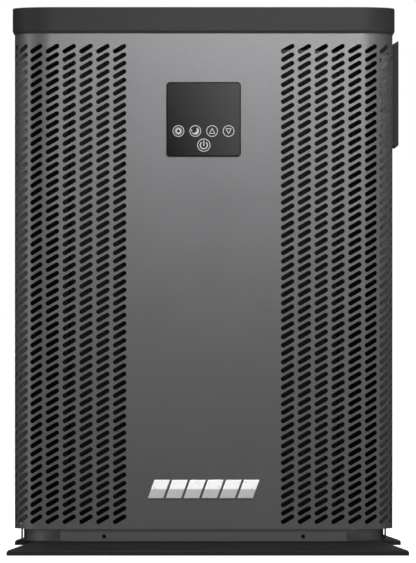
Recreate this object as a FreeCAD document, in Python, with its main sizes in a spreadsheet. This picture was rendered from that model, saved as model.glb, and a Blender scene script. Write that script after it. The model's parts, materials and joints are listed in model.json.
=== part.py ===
import FreeCAD, Part
import math
import os
import re

import Sketcher
from FreeCAD import Placement, Rotation, Vector

# Vertical swimming-pool heat pump: a square louvred tower with a fan that blows out of the top.
# The frame has its origin on the floor under the middle of the casing, +Z up, and the front,
# with the touch panel, faces -Y. Every length is in millimetres.

DRIVING_SIZES = {
    # casing sheets
    "body_half": 225.9,
    "body_corner": 43.9,
    "sheet_t": 1.0,
    "sheet_bottom": 30.7,
    "sheet_top": 634.0,
    "seam_gap": 1.0,
    "seam_flange": 14.0,
    "tab_inset": 7.5,
    "tab_length": 46.0,
    "tab_bottom": 17.5,
    "fit_gap": 0.5,
    # louvre slots
    "slot_width": 5.6,
    "slot_span": 12.2,
    "slot_slope": 30.0,
    "column_pitch": 20.0,
    "first_column": 100.0,
    "flat_columns": 4.0,
    "corner_columns": 4.0,
    "row_pitch": 10.0,
    "first_row": 42.5,
    "row_count": 57.0,
    # top cover
    "cover_half": 228.5,
    "cover_corner": 46.5,
    "cover_bottom": 621.0,
    "cover_top": 652.0,
    "cover_wall": 2.0,
    "cover_plate": 3.0,
    "cover_edge_in": 1.6,
    "cover_edge_up": 3.5,
    "cover_bevel": 1.0,
    "orifice_r": 176.0,
    # base pan, sills and feet
    "pan_half": 215.5,
    "pan_corner": 50.0,
    "pan_t": 1.2,
    "pan_bottom": 16.0,
    "pan_top": 36.0,
    "sill_half": 170.5,
    "sill_face": 222.8,
    "sill_top": 35.0,
    "sill_screw_x": 118.5,
    "sill_screw_z": 22.0,
    "foot_length": 478.0,
    "foot_shift": 5.0,
    "foot_depth": 149.0,
    "foot_front": 250.0,
    "foot_taper": 11.0,
    "foot_lip": 4.2,
    "foot_edge_in": 1.8,
    "foot_edge_up": 2.1,
    "foot_slope_in": 29.2,
    "anchor_x": 190.0,
    "anchor_y": 175.5,
    "anchor_r": 4.5,
    "drain_x": 60.0,
    # fan
    "deck_half": 223.4,
    "deck_corner": 41.4,
    "deck_z": 621.8,
    "deck_t": 1.2,
    "deck_rim": 10.0,
    "shroud_r": 178.0,
    "shroud_wall": 3.0,
    "shroud_low": 604.0,
    "shroud_high": 646.0,
    "grille_t": 3.0,
    "grille_r": 180.5,
    "grille_bar": 2.4,
    "grille_pitch": 8.0,
    "grille_hub": 30.0,
    "grille_ribs": 8.0,
    "fan_r": 173.0,
    "hub_r": 46.0,
    "hub_low": 574.0,
    "hub_high": 634.0,
    "blade_mid": 608.0,
    "blade_t": 2.6,
    "blade_count": 5.0,
    "shaft_r": 6.0,
    "shaft_low": 512.0,
    "shaft_high": 641.0,
    "running_gap": 0.05,
    "motor_r": 48.0,
    "motor_low": 504.0,
    "motor_high": 564.0,
    "strap_x": 40.0,
    "strap_w": 30.0,
    "strap_t": 3.0,
    # evaporator
    "coil_half": 207.0,
    "coil_corner": 36.0,
    "coil_t": 22.0,
    "coil_low": 55.0,
    "coil_high": 598.0,
    "coil_gap": 92.0,
    "header_x": 80.0,
    "header_y": 176.0,
    "header_r": 8.0,
    "tube_r": 5.0,
    # water heat exchanger and connections
    "tank_y": 95.0,
    "tank_r": 62.0,
    "tank_wall": 4.0,
    "tank_low": 60.0,
    "tank_high": 340.0,
    "inlet_z": 115.0,
    "outlet_z": 300.0,
    "stub_r": 27.0,
    "water_r": 23.0,
    "thread_r": 29.95,
    "socket_r": 25.05,
    # refrigerant parts
    "comp_x": -75.0,
    "comp_y": -75.0,
    "comp_r": 62.0,
    "valve_z": 450.0,
    # electrical box
    "ebox_x": 95.0,
    "ebox_y": -115.0,
    "ebox_z": 215.0,
    "ebox_dx": 80.0,
    "ebox_dy": 160.0,
    "ebox_dz": 260.0,
    "ebox_t": 1.2,
    # touch panel, badge, terminal cover, gland
    "glass_side": 88.5,
    "glass_corner": 4.0,
    "glass_t": 1.6,
    "display_z": 518.5,
    "cutout_side": 80.0,
    "housing_depth": 14.0,
    "badge_z": 78.4,
    "badge_w": 133.0,
    "badge_h": 22.0,
    "badge_t": 2.4,
    "badge_slant": 20.0,
    "badge_bars": 6.0,
    "terminal_out": 9.9,
    "terminal_low": 490.6,
    "terminal_high": 617.1,
    "terminal_half": 90.0,
    "terminal_wall": 2.4,
    "gland_x": 50.0,
    "gland_z": 430.0,
    "gland_bore": 6.5,
    "screw_r": 1.6,
    "screw_head_r": 3.6,
}

doc = FreeCAD.newDocument("heat_pump")
sheet = doc.addObject("Spreadsheet::Sheet", "Sizes")
for row, (alias, amount) in enumerate(DRIVING_SIZES.items(), start=1):
    sheet.set("A%d" % row, alias)
    sheet.set("B%d" % row, str(amount))
    sheet.setAlias("B%d" % row, alias)
doc.recompute()

nodes = []


# ---------------------------------------------------------------- reading and binding sizes

def size(alias):
    """The number that the sheet holds under an alias."""
    return float(sheet.get(alias))


def cells(text):
    """An expression written with bare aliases, as the document needs it."""
    return re.sub(
        r"[a-z][a-z_]*",
        lambda word: "Sizes." + word.group() if word.group() in DRIVING_SIZES else word.group(),
        str(text),
    )


def bind(thing, path, text):
    thing.setExpression(path, cells(text))


def place(thing, x="0", y="0", z="0", rotation=None):
    """Bind a sub-part's position to the sheet, with an optional fixed turn."""
    if rotation is not None:
        thing.Placement = Placement(Vector(), rotation)
    for axis, text in zip("xyz", (x, y, z)):
        bind(thing, ".Placement.Base." + axis, text)


def keep(thing, label):
    """Name an object as a sub-part of the heat pump."""
    thing.Label = label
    nodes.append(thing)
    return thing


# ---------------------------------------------------------------- sketches and features

def new_body(label):
    return keep(doc.addObject("PartDesign::Body", label), label)


def new_sketch(body, name, plane="XY_Plane", level="0"):
    """A sketch on one of the body's own origin planes, at a level bound to the sheet."""
    sketch = body.newObject("Sketcher::SketchObject", name)
    support = [f for f in body.Origin.OriginFeatures if f.Role == plane][0]
    sketch.AttachmentSupport = [(support, "")]
    sketch.MapMode = "FlatFace"
    bind(sketch, ".AttachmentOffset.Base.z", level)
    return sketch


def hold(sketch, kind, index, point, text):
    """Bind one coordinate of a sketch point to the sheet."""
    if str(text) == "0":
        axis_line = -2 if kind == "DistanceX" else -1
        sketch.addConstraint(Sketcher.Constraint("PointOnObject", index, point, axis_line))
        return
    number = sketch.addConstraint(Sketcher.Constraint(kind, -1, 1, index, point, 1.0))
    sketch.setExpression("Constraints[%d]" % number, cells(text))


def evaluate(text):
    """The present value of an expression of aliases."""
    return float(sheet.evalExpression(cells(text)))


def add_polygon(sketch, corners):
    """A closed polygon whose corners are pairs of expressions."""
    points = [Vector(evaluate(x), evaluate(y), 0) for x, y in corners]
    first = sketch.GeometryCount
    count = len(points)
    for index in range(count):
        sketch.addGeometry(Part.LineSegment(points[index], points[(index + 1) % count]), False)
    for index in range(count):
        following = first + (index + 1) % count
        sketch.addConstraint(Sketcher.Constraint("Coincident", first + index, 2, following, 1))
    for index, (x, y) in enumerate(corners):
        for kind, text, value in (("DistanceX", x, points[index].x), ("DistanceY", y, points[index].y)):
            if abs(value) < 1e-9:
                hold(sketch, kind, first + index, 1, "0")
            else:
                term = sketch.addConstraint(
                    Sketcher.Constraint(kind, -1, 1, first + index, 1, value))
                sketch.setExpression("Constraints[%d]" % term, cells(text))


def add_circle(sketch, radius, x="0", y="0"):
    """A circle whose radius and centre are expressions."""
    centre = Vector(evaluate(x), evaluate(y), 0)
    index = sketch.addGeometry(Part.Circle(centre, Vector(0, 0, 1), evaluate(radius)), False)
    term = sketch.addConstraint(Sketcher.Constraint("Radius", index, evaluate(radius)))
    sketch.setExpression("Constraints[%d]" % term, cells(radius))
    for kind, text, value in (("DistanceX", x, centre.x), ("DistanceY", y, centre.y)):
        if abs(value) < 1e-9:
            hold(sketch, kind, index, 3, "0")
        else:
            term = sketch.addConstraint(Sketcher.Constraint(kind, -1, 1, index, 3, value))
            sketch.setExpression("Constraints[%d]" % term, cells(text))


def add_rounded(sketch, half_x, half_y, radius, mid_y="0"):
    """A rectangle with four equal round corners, centred on x = 0 and y = mid_y."""
    a, b, r = evaluate(half_x), evaluate(half_y), evaluate(radius)
    c = evaluate(mid_y)
    quarter = math.pi / 2
    up = Vector(0, 0, 1)
    first = sketch.GeometryCount
    sides = (
        (Vector(-a + r, c - b, 0), Vector(a - r, c - b, 0)),
        (Vector(a, c - b + r, 0), Vector(a, c + b - r, 0)),
        (Vector(a - r, c + b, 0), Vector(-a + r, c + b, 0)),
        (Vector(-a, c + b - r, 0), Vector(-a, c - b + r, 0)),
    )
    centres = (
        (Vector(a - r, c - b + r, 0), -quarter),
        (Vector(a - r, c + b - r, 0), 0.0),
        (Vector(-a + r, c + b - r, 0), quarter),
        (Vector(-a + r, c - b + r, 0), 2 * quarter),
    )
    for (start, end), (centre, angle) in zip(sides, centres):
        sketch.addGeometry(Part.LineSegment(start, end), False)
        arc = Part.ArcOfCircle(Part.Circle(centre, up, r), angle, angle + quarter)
        sketch.addGeometry(arc, False)
    for side in range(4):
        line, arc = first + 2 * side, first + 2 * side + 1
        following = first + (2 * side + 2) % 8
        sketch.addConstraint(Sketcher.Constraint("Tangent", line, 2, arc, 1))
        sketch.addConstraint(Sketcher.Constraint("Tangent", arc, 2, following, 1))
        straight = "Horizontal" if side % 2 == 0 else "Vertical"
        sketch.addConstraint(Sketcher.Constraint(straight, line))
        if side:
            sketch.addConstraint(Sketcher.Constraint("Equal", first + 1, arc))
    term = sketch.addConstraint(Sketcher.Constraint("Radius", first + 1, r))
    sketch.setExpression("Constraints[%d]" % term, cells(radius))
    limits = (
        ("DistanceY", first, c - b, "(%s) - (%s)" % (mid_y, half_y)),
        ("DistanceX", first + 2, a, half_x),
        ("DistanceY", first + 4, c + b, "(%s) + (%s)" % (mid_y, half_y)),
        ("DistanceX", first + 6, -a, "-(%s)" % half_x),
    )
    for kind, line, value, text in limits:
        term = sketch.addConstraint(Sketcher.Constraint(kind, -1, 1, line, 1, value))
        sketch.setExpression("Constraints[%d]" % term, cells(text))


def pad(body, sketch, length, down=False):
    feature = body.newObject("PartDesign::Pad", sketch.Name + "_pad")
    feature.Profile = sketch
    feature.Reversed = down
    bind(feature, "Length", length)
    body.Tip = feature
    return feature


def pocket(body, sketch, length, up=False):
    """A pocket; it must take material away, or the part is wrong."""
    doc.recompute()
    before = body.Shape.Volume
    feature = body.newObject("PartDesign::Pocket", sketch.Name + "_pocket")
    feature.Profile = sketch
    feature.Reversed = up
    bind(feature, "Length", length)
    body.Tip = feature
    doc.recompute()
    if body.Shape.Volume > before - 0.01:
        raise ValueError("pocket %s cuts nothing" % sketch.Name)
    return feature


def turned(label, corners):
    """A body of revolution about its own Z axis; corners are (radius, height) expressions."""
    body = new_body(label)
    sketch = new_sketch(body, label + "_profile", "XZ_Plane")
    add_polygon(sketch, corners)
    feature = body.newObject("PartDesign::Revolution", label + "_turn")
    feature.Profile = sketch
    feature.ReferenceAxis = (sketch, ["V_Axis"])
    feature.Angle = 360.0
    body.Tip = feature
    return body


def ring_pattern(body, feature, count):
    """Repeat a feature evenly about the body's Z axis."""
    pattern = body.newObject("PartDesign::PolarPattern", feature.Name + "_ring")
    pattern.Originals = [feature]
    axis = [f for f in body.Origin.OriginFeatures if f.Role == "Z_Axis"][0]
    pattern.Axis = (axis, [""])
    pattern.Angle = 360.0
    pattern.Occurrences = count
    body.Tip = pattern
    return pattern


def box(name, lengths, corner):
    """A Part box from three length and three corner expressions."""
    solid = doc.addObject("Part::Box", name)
    for path, text in zip(("Length", "Width", "Height"), lengths):
        bind(solid, path, text)
    place(solid, *corner)
    return solid


def rod(name, radius, length, foot, rotation=None):
    """A Part cylinder from its foot along +Z, or along the axis that the rotation gives."""
    solid = doc.addObject("Part::Cylinder", name)
    bind(solid, "Radius", radius)
    bind(solid, "Height", length)
    place(solid, *foot, rotation=rotation)
    return solid


def fused(name, parts):
    whole = doc.addObject("Part::MultiFuse", name)
    whole.Shapes = parts
    return whole


def cut(name, base, tool):
    result = doc.addObject("Part::Cut", name)
    result.Base = base
    result.Tool = tool
    return result


def shaped(label, shape, rotation=None):
    """A sub-part whose shape is made in code from the sheet's sizes."""
    feature = doc.addObject("Part::Feature", label)
    feature.Shape = shape
    feature.Placement = Placement(Vector(), rotation or Rotation())
    return keep(feature, label)


ALONG_X = Rotation(Vector(0, 1, 0), 90)
ALONG_Y = Rotation(Vector(1, 0, 0), -90)
QUARTER_TURN = Rotation(Vector(0, 0, 1), 90)
HALF_TURN = Rotation(Vector(0, 0, 1), 180)
BACK_QUARTER = Rotation(Vector(0, 0, 1), -90)


# ---------------------------------------------------------------- louvred casing sheets

def slot_wire(u, z, at):
    """One slot outline: u along the wall, z up; at(u, z) gives the point in space."""
    reach = size("slot_span") / 2
    radius = size("slot_width") / 2
    slope = math.radians(size("slot_slope"))
    along = (math.cos(slope), math.sin(slope))
    across = (-along[1], along[0])

    def point(a, b):
        return at(u + a * along[0] + b * across[0], z + a * along[1] + b * across[1])

    edges = [
        Part.LineSegment(point(-reach, -radius), point(reach, -radius)).toShape(),
        Part.Arc(point(reach, -radius), point(reach + radius, 0), point(reach, radius)).toShape(),
        Part.LineSegment(point(reach, radius), point(-reach, radius)).toShape(),
        Part.Arc(point(-reach, radius), point(-reach - radius, 0), point(-reach, -radius)).toShape(),
    ]
    return Part.Wire(edges)


def row_heights():
    return [size("first_row") + size("row_pitch") * n for n in range(int(size("row_count")))]


def flat_columns():
    """Slot columns on both sides of the plain middle band of one face."""
    places = [size("first_column") + size("column_pitch") * n for n in range(int(size("flat_columns")))]
    return [-u for u in reversed(places)] + places


def flat_wall(half_width, holes):
    """A flat louvred sheet in the front wall's place, with more hole wires cut in it."""
    face_y = -size("body_half")
    low, high = size("sheet_bottom"), size("sheet_top")

    def at(u, z):
        return Vector(u, face_y, z)

    corners = [at(-half_width, low), at(half_width, low), at(half_width, high), at(-half_width, high)]
    outline = Part.makePolygon(corners + corners[:1])
    slots = [slot_wire(u, z, at) for u in flat_columns() for z in row_heights()]
    for wire in slots:
        # holes run round the other way from the outline
        wire.reverse()
    face = Part.Face([outline] + slots + holes)
    solid = face.extrude(Vector(0, size("sheet_t"), 0))
    return solid


def hole_wire(u, z, radius):
    circle = Part.Circle(Vector(u, -size("body_half"), z), Vector(0, 1, 0), radius)
    return Part.Wire([circle.toShape()])


def window_wire(u, z, width, height):
    """A rectangular opening in the front wall's plane."""
    y = -size("body_half")
    corners = [
        Vector(u - width / 2, y, z - height / 2),
        Vector(u - width / 2, y, z + height / 2),
        Vector(u + width / 2, y, z + height / 2),
        Vector(u + width / 2, y, z - height / 2),
    ]
    return Part.makePolygon(corners + corners[:1])


def corner_wall(side, join):
    """A rounded casing corner with its slots; side is +1 at the right and -1 at the left."""
    half, outer = size("body_half"), size("body_corner")
    middle = half - outer
    inner = outer - size("sheet_t")
    low, high = size("sheet_bottom"), size("sheet_top")

    def on_arc(angle, radius):
        return Vector(side * (middle + radius * math.sin(angle)), -middle - radius * math.cos(angle), low)

    eighth, quarter = math.pi / 4, math.pi / 2
    profile = [
        Part.LineSegment(Vector(side * join, -half, low), on_arc(0, outer)).toShape(),
        Part.Arc(on_arc(0, outer), on_arc(eighth, outer), on_arc(quarter, outer)).toShape(),
        Part.LineSegment(on_arc(quarter, outer), on_arc(quarter, inner)).toShape(),
        Part.Arc(on_arc(quarter, inner), on_arc(eighth, inner), on_arc(0, inner)).toShape(),
        Part.LineSegment(on_arc(0, inner), Vector(side * join, -half + size("sheet_t"), low)).toShape(),
        Part.LineSegment(Vector(side * join, -half + size("sheet_t"), low),
                         Vector(side * join, -half, low)).toShape(),
    ]
    wall = Part.Face(Part.Wire(profile)).extrude(Vector(0, 0, high - low))

    start = size("first_column") + size("column_pitch") * size("flat_columns")
    reach = 4.0 * size("sheet_t")
    cutters = []
    for column in range(int(size("corner_columns"))):
        angle = side * (start + size("column_pitch") * column - middle) / outer
        outward = Vector(math.sin(angle), -math.cos(angle), 0)
        along = Vector(math.cos(angle), math.sin(angle), 0)
        foot = Vector(side * middle, -middle, 0) + outward * (outer - reach)
        for z in row_heights():
            wire = slot_wire(0, z, lambda u, level: foot + along * u + Vector(0, 0, level))
            cutters.append(Part.Face(wire).extrude(outward * (2 * reach)))
    return wall.cut(Part.makeCompound(cutters))


def wrapped_panel(label, holes, rotation=None):
    """A sheet that forms one face of the tower and the two rounded corners beside it."""
    join = size("first_column") + size("column_pitch") * (size("flat_columns") - 0.5)
    middle = flat_wall(join, holes)
    whole = middle.fuse([corner_wall(-1, join), corner_wall(1, join)])
    return shaped(label, whole.removeSplitter().Solids[0], rotation)


def side_panel(label, holes, rotation):
    """A flat face with an inward flange along each seam and two low tabs that reach the base."""
    half = size("body_half")
    sheet_t = size("sheet_t")
    reach = half - size("body_corner") - size("seam_gap")
    low, high = size("sheet_bottom"), size("sheet_top")
    panel = flat_wall(reach, holes)
    extras = []
    for side in (-1, 1):
        edge = side * reach
        flange_x = min(edge, edge - side * sheet_t)
        flange_low = size("pan_top") + size("fit_gap")
        flange_high = size("deck_z") - size("fit_gap")
        flange = Part.makeBox(sheet_t, size("seam_flange"), flange_high - flange_low,
                              Vector(flange_x, -half, flange_low))
        extras.append(flange)
        tab_x = min(edge, edge - side * size("tab_length"))
        shelf = Part.makeBox(size("tab_length"), size("tab_inset") + sheet_t, sheet_t,
                             Vector(tab_x, -half, low))
        tab = Part.makeBox(size("tab_length"), sheet_t, low + sheet_t - size("tab_bottom"),
                           Vector(tab_x, -half + size("tab_inset"), size("tab_bottom")))
        extras.append(shelf)
        extras.append(tab)
    whole = panel.fuse(extras)
    return shaped(label, whole.removeSplitter().Solids[0], rotation)


def screw_places(heights):
    """Panel screws (across, height) in pairs, just inside the edges of the plain middle band."""
    across = size("first_column") - size("column_pitch")
    return [(side * across, z) for side in (-1, 1) for z in heights]


REAR_SCREWS = screw_places((45.0, 380.0, 605.0))
LEFT_SCREWS = screw_places((45.0, 605.0))
RIGHT_SCREWS = screw_places((45.0,))
TERMINAL_SCREWS = [(side * (size("terminal_half") - 12.0), size("terminal_low") + 8.0) for side in (-1, 1)]
TERMINAL_SEAT = size("terminal_out") - 3.0


def screw_holes(places):
    return [hole_wire(u, z, size("screw_r") + 0.3) for u, z in places]


def casing():
    cutout = window_wire(0, size("display_z"), size("cutout_side"), size("cutout_side"))
    wrapped_panel("front_panel", [cutout])
    ports = [
        hole_wire(0, size("inlet_z"), size("thread_r") + 1.5),
        hole_wire(0, size("outlet_z"), size("thread_r") + 1.5),
        hole_wire(-size("gland_x"), size("gland_z"), 10.5),
    ]
    wrapped_panel("rear_panel", ports + screw_holes(REAR_SCREWS), HALF_TURN)
    middle = (size("terminal_low") + size("terminal_high")) / 2
    window = window_wire(0, middle, 150.0, 90.0)
    side_panel("right_side_panel", [window] + screw_holes(RIGHT_SCREWS + TERMINAL_SCREWS), QUARTER_TURN)
    side_panel("left_side_panel", screw_holes(LEFT_SCREWS), BACK_QUARTER)


def pan_head_screw(seat, outward):
    """A pan-head screw seated on a wall's outer face."""
    head_t = 2.2
    head = Part.makeCylinder(size("screw_head_r"), head_t, seat, outward)
    top = seat + outward * head_t
    rim = [edge for edge in head.Edges if edge.CenterOfMass.distanceToPoint(top) < 0.01]
    head = head.makeFillet(0.8, rim)
    shank = Part.makeCylinder(size("screw_r"), 9.0, seat, -outward)
    recess = Part.makeCylinder(1.3, 1.2, top, -outward)
    return head.fuse(shank).cut(recess).removeSplitter()


def casing_screws():
    """The panel screws of the rear and side walls and the two of the terminal cover."""
    half = size("body_half")
    screws = [pan_head_screw(Vector(-u, half, z), Vector(0, 1, 0)) for u, z in REAR_SCREWS]
    screws += [pan_head_screw(Vector(-half, -u, z), Vector(-1, 0, 0)) for u, z in LEFT_SCREWS]
    screws += [pan_head_screw(Vector(half, u, z), Vector(1, 0, 0)) for u, z in RIGHT_SCREWS]
    screws += [pan_head_screw(Vector(half + TERMINAL_SEAT, u, z), Vector(1, 0, 0)) for u, z in TERMINAL_SCREWS]
    shaped("casing_screws", Part.makeCompound(screws))


# ---------------------------------------------------------------- base

def base_pan():
    body = new_body("base_pan")
    outline = new_sketch(body, "pan_outline", level="pan_bottom")
    add_rounded(outline, "pan_half", "pan_half", "pan_corner")
    pad(body, outline, "pan_top - pan_bottom")
    hollow = new_sketch(body, "pan_hollow", level="pan_top")
    add_rounded(hollow, "pan_half - pan_t", "pan_half - pan_t", "pan_corner - pan_t")
    pocket(body, hollow, "pan_top - pan_bottom - pan_t")
    holes = new_sketch(body, "pan_holes", level="pan_top")
    for x in ("anchor_x", "-anchor_x"):
        for y in ("anchor_y", "-anchor_y"):
            add_circle(holes, "anchor_r", x, y)
    add_circle(holes, "8.4", "drain_x", "0")
    pocket(body, holes, "pan_top")


def sill(label, front):
    """A shallow channel that closes the gap under the front or rear sheet."""
    sign = "-" if front else ""
    depth = "sill_face - pan_half - 0.1"
    near = "-sill_face" if front else "pan_half + 0.1"
    block = box(label + "_block", ("2 * sill_half", depth, "sill_top - pan_bottom"),
                ("-sill_half", near, "pan_bottom"))
    inner_y = "-sill_face + pan_t" if front else "pan_half - 1"
    hollow = box(label + "_hollow",
                 ("2 * sill_half + 2", depth + " + 1.1 - pan_t", "sill_top - pan_bottom - 2 * pan_t"),
                 ("-sill_half - 1", inner_y, "pan_bottom + pan_t"))
    holes = [
        rod(label + "_hole_" + name, "screw_r + 0.2", "20", (x, "%ssill_face - 10" % sign, "sill_screw_z"),
            ALONG_Y)
        for name, x in (("right", "sill_screw_x"), ("left", "-sill_screw_x"))
    ]
    keep(cut(label, block, fused(label + "_voids", [hollow] + holes)), label)


def sill_screws():
    """Small dark screws with a hexagon socket, in the face of both sills."""
    screws = []
    for facing in (-1, 1):
        for side in (-1, 1):
            outward = Vector(0, facing, 0)
            seat = Vector(side * size("sill_screw_x"), facing * size("sill_face"), size("sill_screw_z"))
            head = Part.makeCylinder(2.35, 0.9, seat, outward)
            shank = Part.makeCylinder(size("screw_r"), 4.0, seat, -outward)
            socket = Part.makeCylinder(1.0, 0.7, seat + outward * 0.9, -outward)
            screws.append(head.fuse(shank).cut(socket).removeSplitter())
    shaped("sill_screws", Part.makeCompound(screws))


def frustum(lower, upper):
    """A solid between two level outlines with the same number of corners."""
    count = len(lower)
    rings = [lower, upper]
    rings += [[lower[n], lower[(n + 1) % count], upper[(n + 1) % count], upper[n]] for n in range(count)]
    return Part.Solid(Part.Shell([Part.Face(Part.makePolygon(ring + ring[:1])) for ring in rings]))


def foot(label, near):
    """A broad, low block with sloping sides, a little shorter at its rear edge; near is its front edge's place."""
    depth, taper = size("foot_depth"), size("foot_taper")
    middle, reach = size("foot_shift"), size("foot_length") / 2

    def outline(inset, z):
        points = []
        for side, along in ((-1, inset), (1, inset), (1, depth - inset), (-1, depth - inset)):
            half = reach - inset - taper * along / depth
            points.append(Vector(middle + side * half, near + along, z))
        return points

    edge_in = size("foot_edge_in")
    lip_z, edge_z, top_z = size("foot_lip"), size("foot_lip") + size("foot_edge_up"), size("pan_bottom")
    levels = [outline(0, 0), outline(0, lip_z), outline(edge_in, edge_z),
              outline(edge_in + size("foot_slope_in"), top_z)]
    tiers = [frustum(lower, upper) for lower, upper in zip(levels, levels[1:])]
    y = math.copysign(size("anchor_y"), near + depth / 2)
    holes = [Part.makeCylinder(size("anchor_r"), 40, Vector(x, y, -10))
             for x in (-size("anchor_x"), size("anchor_x"))]
    shaped(label, tiers[0].fuse(tiers[1:]).cut(holes).removeSplitter().Solids[0])


def drain_spigot():
    body = turned("drain_spigot", (
        ("6", "3"), ("8", "3"), ("8", "13"), ("13", "13"), ("13", "pan_bottom"),
        ("8.2", "pan_bottom"), ("8.2", "pan_bottom + pan_t"), ("11", "pan_bottom + pan_t"),
        ("9", "pan_bottom + pan_t + 2"), ("6", "pan_bottom + pan_t + 2"),
    ))
    place(body, "drain_x")


# ---------------------------------------------------------------- top cover and fan

def edges_at(shape, level, least_reach):
    """Names of the edges that lie flat at one height and outside a given distance."""
    names = []
    for index, edge in enumerate(shape.Edges, start=1):
        limits = edge.BoundBox
        reach = max(abs(limits.XMin), abs(limits.XMax), abs(limits.YMin), abs(limits.YMax))
        if abs(limits.ZMin - level) < 0.01 and abs(limits.ZMax - level) < 0.01 and reach > least_reach:
            names.append("Edge%d" % index)
    return names


def bevel_edges(body, name, level, least_reach, inward, upward, flipped=False):
    doc.recompute()
    base = body.Tip
    feature = body.newObject("PartDesign::Chamfer", name)
    feature.Base = (base, edges_at(base.Shape, level, least_reach))
    feature.ChamferType = "Two distances"
    feature.FlipDirection = flipped
    bind(feature, "Size", inward)
    bind(feature, "Size2", upward)
    body.Tip = feature
    doc.recompute()
    return feature


def top_cover():
    body = new_body("top_cover")
    outline = new_sketch(body, "cover_outline", level="cover_bottom")
    add_rounded(outline, "cover_half", "cover_half", "cover_corner")
    pad(body, outline, "cover_top - cover_bottom")
    hollow = new_sketch(body, "cover_hollow", level="cover_bottom")
    add_rounded(hollow, "cover_half - cover_wall", "cover_half - cover_wall", "cover_corner - cover_wall")
    pocket(body, hollow, "cover_top - cover_bottom - cover_plate", up=True)
    orifice = new_sketch(body, "cover_orifice", level="cover_top")
    add_circle(orifice, "orifice_r")
    pocket(body, orifice, "cover_plate + 1")
    outside = size("cover_half") - 0.1
    bevel_edges(body, "cover_top_bevel", size("cover_top"), outside, "cover_bevel", "cover_bevel")
    lower = bevel_edges(body, "cover_low_bevel", size("cover_bottom"), outside,
                        "cover_edge_in", "cover_edge_up", flipped=True)
    reach = max(abs(v.X) for v in lower.Shape.Vertexes if abs(v.Z - size("cover_bottom")) < 0.01)
    if abs(reach - size("cover_half") + size("cover_edge_in")) > 0.01:
        raise ValueError("the cover's lower bevel has its two lengths the wrong way round")


def fan_deck():
    body = new_body("fan_deck")
    outline = new_sketch(body, "deck_outline", level="deck_z")
    add_rounded(outline, "deck_half", "deck_half", "deck_corner")
    pad(body, outline, "deck_rim")
    hollow = new_sketch(body, "deck_hollow", level="deck_z + deck_rim")
    add_rounded(hollow, "deck_half - deck_t", "deck_half - deck_t", "deck_corner - deck_t")
    pocket(body, hollow, "deck_rim - deck_t")
    opening = new_sketch(body, "deck_opening", level="deck_z + deck_rim")
    add_circle(opening, "shroud_r + shroud_wall + 0.5")
    pocket(body, opening, "deck_rim + 1")


def fan_shroud():
    outer = "shroud_r + shroud_wall"
    seat = "deck_z + deck_t"
    turned("fan_shroud", (
        ("shroud_r", "shroud_low"), (outer, "shroud_low"), (outer, seat), (outer + " + 13", seat),
        (outer + " + 13", seat + " + 2"), (outer, seat + " + 2"), (outer, "shroud_high"),
        ("shroud_r", "shroud_high"),
    ))


def fan_grille():
    """A disc cut by rings of windows, which leave thin round bars and straight ribs."""
    outer, hub = size("orifice_r") - 2.0, size("grille_hub")
    pitch, bar = size("grille_pitch"), size("grille_bar")
    ribs = int(size("grille_ribs"))
    level = size("shroud_high")
    holes = []
    ring_count = int((outer - hub) // pitch)
    for ring in range(ring_count):
        inner_r = hub + pitch * ring
        outer_r = inner_r + pitch - bar
        for rib in range(ribs):
            holes.append(sector_wire(inner_r, outer_r, rib, ribs, level))
    rim = Part.Wire([Part.Circle(Vector(0, 0, level), Vector(0, 0, 1), size("grille_r")).toShape()])
    shaped("fan_grille", Part.Face([rim] + holes).extrude(Vector(0, 0, size("grille_t"))))


def sector_wire(inner_r, outer_r, index, count, level):
    """A window between two radii and two ribs of even width."""
    half_rib = 0.75 * size("grille_bar")
    step = 2 * math.pi / count

    def at(radius, start):
        lean = math.asin(half_rib / radius)
        angle = step * (index if start else index + 1) + (lean if start else -lean)
        return Vector(radius * math.cos(angle), radius * math.sin(angle), level)

    def middle(radius):
        angle = step * (index + 0.5)
        return Vector(radius * math.cos(angle), radius * math.sin(angle), level)

    return Part.Wire([
        Part.Arc(at(inner_r, True), middle(inner_r), at(inner_r, False)).toShape(),
        Part.LineSegment(at(inner_r, False), at(outer_r, False)).toShape(),
        Part.Arc(at(outer_r, False), middle(outer_r), at(outer_r, True)).toShape(),
        Part.LineSegment(at(outer_r, True), at(inner_r, True)).toShape(),
    ])


def blade_section(radius, chord, pitch_angle, skew):
    """A thin cambered outline, square to the radius at one distance from the axis."""
    outward = Vector(math.cos(skew), math.sin(skew), 0)
    around = Vector(-math.sin(skew), math.cos(skew), 0)
    centre = outward * radius + Vector(0, 0, size("blade_mid"))
    along = around * math.cos(pitch_angle) + Vector(0, 0, math.sin(pitch_angle))
    across = Vector(0, 0, math.cos(pitch_angle)) - around * math.sin(pitch_angle)
    camber, half_t = 0.08 * chord, size("blade_t") / 2

    def point(a, b):
        return centre + along * (a * chord) + across * b

    tip_t = 0.4 * half_t
    return Part.Wire([
        Part.Arc(point(-0.5, -tip_t), point(0, camber - half_t), point(0.5, -tip_t)).toShape(),
        Part.LineSegment(point(0.5, -tip_t), point(0.5, tip_t)).toShape(),
        Part.Arc(point(0.5, tip_t), point(0, camber + half_t), point(-0.5, tip_t)).toShape(),
        Part.LineSegment(point(-0.5, tip_t), point(-0.5, -tip_t)).toShape(),
    ])


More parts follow.
